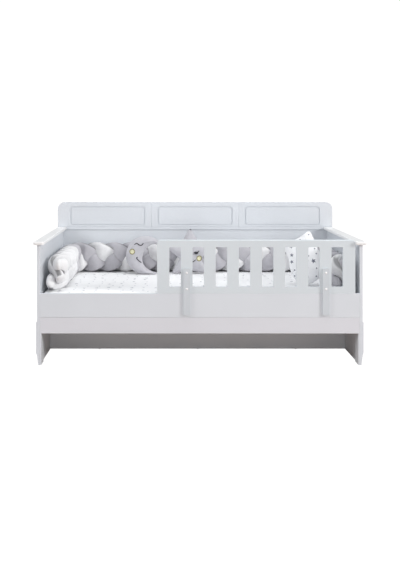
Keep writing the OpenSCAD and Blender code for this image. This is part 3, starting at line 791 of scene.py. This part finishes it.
def pillowOutline():  # a rectangle, slumped out of square: two sides pull in between its corners, two bulge
    (halfX, halfY), corner = pillow["half"], pillow["corner"]
    rim = evenOutline(roundedLoop(halfX, halfY, corner, np.linspace(0, 1, 400, endpoint=False)), 280, 8)
    hollow = np.where(rim > 0, (pillow["sag"], pillow["pull"]), (pillow["pull"], pillow["sag"]))
    belly = np.cos(np.pi / 2 * np.clip((rim[:, 1] / halfY + 0.25) / 0.75, -1, 1)) ** 2 * (rim[:, 0] < 0)
    rim = rim * (1 - hollow * np.cos(rim[:, ::-1] / (halfY, halfX) * np.pi / 2) ** 2)
    rim[:, 0] -= pillow["belly"] * belly
    heart = np.stack([np.zeros(len(rim)), np.clip(rim[:, 1], -0.05, 0.05)], 1)
    slope, rake = np.radians((pillow["slope"], pillow["rake"]))
    slump = np.array([[np.cos(slope), np.sin(slope)], [-np.sin(rake), np.cos(rake)]])
    rim, heart = rim @ slump, heart @ slump
    for flat in (rim, heart):
        flat[:, 0] += pillow["flop"] * np.clip(flat[:, 1] / halfY, 0, 1) ** 2
    return rim, heart


def seamPath(rim, place):  # the outline, in the plane between front and back
    return place(np.column_stack([rim[:, 0], np.zeros(len(rim)), rim[:, 1]]))


def weltRings(path, radius):  # a closed loop's rings: the path is carried a little past its start
    closed = np.concatenate([path, path[:4]])
    return threadRings(closed, radius, 7)


def makeCushions():  # shells, then all their cloths at once, then a welt round each seam
    shapes = {
        "moonCushion": (moonOutline, moon, toyPlush, upright(moonCentre), "plush_cloth", "moon_cushion"),
        "starCushion": (starOutline, star, toyPlush, upright(starCentre, star["yaw"]), "plush_cloth",
                        "star_cushion"),
        "starPrintPillow": (pillowOutline, pillow, printPillow, pillowPlace, "printed_sheet",
                            "star_print_pillow"),
    }
    made, sewn = {}, []
    for name, (outline, shape, look, place, slot, node) in shapes.items():
        rim, heart = outline()
        piece = crownedShell(name, rim, heart, shape["halfDepth"], look, place)
        sewn.append((piece, seamPath(rim, place), shape["puff"]))
        made[name] = piece
        dress(piece, slot, node, fill=0.7)
    puffUp(sewn)
    for (name, (_, _, look, _, slot, _)), (_, seam, _) in zip(shapes.items(), sewn):
        dress(tube(name + "Seam", weltRings(seam, puffing["welt"]), look), slot)
    cover = made["starPrintPillow"].data  # its print is laid on from the front, in its own plane
    flat = (meshPoints(cover) - pillowCentre) @ pillowTurn
    corners = np.empty(len(cover.loops), dtype=np.int32)
    cover.loops.foreach_get("vertex_index", corners)
    cover.uv_layers.new(name="cloth").data.foreach_set("uv", flat[corners][:, [0, 2]].ravel())
    return made


cushions = makeCushions()
print("cushions made")


# Sleepy faces: embroidered lines and gold cheeks that lie on the cushions' fronts
faces = {
    "moon": {
        "Eye": ([(-0.077, 0.077), (-0.060, 0.091), (-0.044, 0.076), (-0.026, 0.072), (-0.012, 0.091)],
                0.0030),
        "Smile": ([(-0.053, -0.007), (-0.062, -0.015), (-0.047, -0.032), (-0.027, -0.050)], 0.0034),
    },
    "star": {
        "EyeRight": ([(0.030, 0.018), (0.035, 0.010), (0.041, 0.007), (0.047, 0.010), (0.052, 0.017)],
                     0.0082),
        "LashRight": ([(0.048, 0.012), (0.056, 0.017), (0.062, 0.025)], 0.0026),
        "EyeLeft": ([(-0.028, 0.018), (-0.023, 0.010), (-0.017, 0.007), (-0.011, 0.010), (-0.006, 0.018)],
                    0.0082),
        "LashLeft": ([(-0.024, 0.012), (-0.032, 0.017), (-0.038, 0.025)], 0.0026),
        "Smile": ([(-0.014, -0.038), (0.0, -0.050), (0.012, -0.054), (0.024, -0.050), (0.039, -0.037)],
                  0.0026),
    },
}
cheeks = {"moonCheek": ("moon", (-0.091, 0.030), 0.0160), "starCheekRight": ("star", (0.063, -0.030), 0.0160),
          "starCheekLeft": ("star", (-0.040, -0.030), 0.0160)}
cheekShape = {"rings": (0.05, 0.3, 0.55, 0.8, 0.95, 1.0), "lift": 0.0012, "thick": 0.0035, "edgeAt": 1.06,
              "edge": 0.0030}
hangingLoop = {"wide": 0.005, "high": 0.004, "thread": 0.0016}
faceOf = {"moon": ("moonCushion", moonCentre), "star": ("starCushion", starCentre)}


def onFront(owner, flat, lift):  # places on a cushion's front, over points drawn in its own plane
    name, centre = faceOf[owner]
    skin = evaluated(cushions[name])
    places = []
    for x, z in flat:
        hit, where, _, _ = skin.ray_cast((centre[0] + x, centre[1] - 0.3, centre[2] + z), (0, 1, 0))
        places.append((centre[0] + x, (where.y if hit else centre[1]) - lift, centre[2] + z))
    return np.array(places)


def makeFaces():  # threads along smoothed lines, cheeks as crowned discs with a corded edge
    for owner, lines in faces.items():
        for name, (knots, radius) in lines.items():
            path = onFront(owner, smoothLine(knots, 40), radius * 0.25)
            dress(tube(owner + name, threadRings(path, radius), darkThread), "dark_thread")
    for name, (owner, at, radius) in cheeks.items():
        turn = np.linspace(0, 2 * np.pi, 36, endpoint=False)
        circle = np.stack([np.cos(turn), np.sin(turn)], 1)
        reach = np.array(cheekShape["rings"])
        flat = (np.array(at) + radius * reach[:, None, None] * circle).reshape(-1, 2)
        front = onFront(owner, flat, cheekShape["lift"]).reshape(len(reach), -1, 3)
        back = front[::-1][1:] + (0, cheekShape["thick"], 0)
        dress(tube(name, np.concatenate([front, back]), goldCloth), "gold_applique")
        edge = onFront(owner, np.array(at) + radius * cheekShape["edgeAt"] * circle, 0.0006)
        dress(tube(name + "Edge", weltRings(edge, cheekShape["edge"]), oliveThread), "gold_applique")
    tip = np.array(starCentre) + (0.002, 0, star["reach"] - 0.003)
    angle = np.linspace(-0.6, 1.4, 24) * np.pi
    loop = tip + np.stack([hangingLoop["wide"] * np.cos(angle), -0.004 + 0.001 * angle,
                           hangingLoop["high"] * np.sin(angle)], 1)
    dress(tube("starTipLoop", threadRings(loop, hangingLoop["thread"]), darkThread), "dark_thread")


makeFaces()
print("faces made")


# Camera and studio
eye = {"distance": 4.4, "height": 1.247, "sideStep": -0.164, "lens": 46.3, "sensor": 36.0, "shiftX": 0.0482,
       "shiftY": -0.2228}
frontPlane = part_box("front_rail")[0].y


def makeCamera():  # level, square to the front, a little to the left of the middle
    data = bpy.data.cameras.new("camera")
    data.lens, data.sensor_width = eye["lens"], eye["sensor"]
    data.shift_x, data.shift_y = eye["shiftX"], eye["shiftY"]
    camera = bpy.data.objects.new("camera", data)
    camera.location = (eye["sideStep"], frontPlane - eye["distance"], eye["height"])
    camera.rotation_euler = (math.radians(90), 0, 0)
    bpy.context.scene.collection.objects.link(camera)
    bpy.context.scene.camera = camera


studio = {
    "key": {"at": (8.6, -4.4, 4.2), "size": 2.4, "power": 560.0, "colour": (1.0, 0.99, 0.975)},
    "fill": {"at": (-8.8, -3.4, 4.4), "size": 3.0, "power": 310.0, "colour": (0.98, 0.99, 1.0)},
    "top": {"at": (0.0, -1.0, 6.0), "size": 3.6, "power": 100.0, "colour": (0.97, 0.985, 1.0)},
    "low": {"at": (0.0, -9.0, 0.6), "size": 3.0, "power": 70.0, "colour": (1.0, 0.98, 0.97)},
    "sky": {"colour": (0.965, 0.98, 1.0), "strength": 0.55, "backdrop": 1.05},
    "floor": {"half": 30.0, "colour": (0.56, 0.485, 0.455), "seen": 0.9, "white": 1.15},
    "aim": (0.0, 0.0, 0.45),
}


def softBox(name, at, size, power, colour):  # a round lamp that faces the middle of the bed
    data = bpy.data.lights.new(name, "AREA")
    data.shape, data.size, data.energy, data.color = "DISK", size, power, colour
    lamp = bpy.data.objects.new(name, data)
    lamp.location = at
    target = np.array(studio["aim"]) - np.array(at)
    lamp.rotation_euler = (math.acos(-target[2] / np.linalg.norm(target)), 0,
                           math.atan2(target[1], target[0]) - math.pi / 2)
    bpy.context.scene.collection.objects.link(lamp)


def makeStudio():  # lamps, a pale sky that is plain white where it is seen, and a floor
    for name in ("key", "fill", "top", "low"):
        softBox(name, **studio[name])
    world = bpy.data.worlds.new("studio")
    bpy.context.scene.world = world
    world.use_nodes = True
    nodes, links = world.node_tree.nodes, world.node_tree.links
    nodes.clear()
    seen, lit = nodes.new("ShaderNodeBackground"), nodes.new("ShaderNodeBackground")
    seen.inputs["Color"].default_value = (1, 1, 1, 1)
    seen.inputs["Strength"].default_value = studio["sky"]["backdrop"]
    lit.inputs["Color"].default_value = (*studio["sky"]["colour"], 1)
    lit.inputs["Strength"].default_value = studio["sky"]["strength"]
    either, ray = nodes.new("ShaderNodeMixShader"), nodes.new("ShaderNodeLightPath")
    output = nodes.new("ShaderNodeOutputWorld")
    links.new(ray.outputs["Is Camera Ray"], either.inputs[0])
    links.new(lit.outputs[0], either.inputs[1])
    links.new(seen.outputs[0], either.inputs[2])
    links.new(either.outputs[0], output.inputs[0])

    half = studio["floor"]["half"]
    mesh = bpy.data.meshes.new("floor")
    corners = [(-half, -half, 0), (half, -half, 0), (half, half, 0), (-half, half, 0)]
    mesh.from_pydata(corners, [], [(0, 1, 2, 3)])
    floor = bpy.data.objects.new("floor", mesh)
    bpy.context.scene.collection.objects.link(floor)
    paper = Shader("floorPaper")
    paper.set(Base_Color=studio["floor"]["colour"], Roughness=0.9, Specular_IOR_Level=0.1)
    # burnt out to white where it is seen, and darker as a reflector
    nodes, links = paper.tree.nodes, paper.tree.links
    white, either = nodes.new("ShaderNodeEmission"), nodes.new("ShaderNodeMixShader")
    ray = paper.add("ShaderNodeLightPath", {}, {}, "Is Camera Ray")
    paper.feed(either.inputs[0], ray * studio["floor"]["seen"])
    white.inputs["Strength"].default_value = studio["floor"]["white"]
    output = next(node for node in nodes if node.type == "OUTPUT_MATERIAL")
    links.new(paper.surface.outputs[0], either.inputs[1])
    links.new(white.outputs[0], either.inputs[2])
    links.new(either.outputs[0], output.inputs["Surface"])
    mesh.materials.append(paper.material)
    bpy.context.scene.view_settings.view_transform = "Standard"


makeCamera()
makeStudio()
print("camera and studio made")
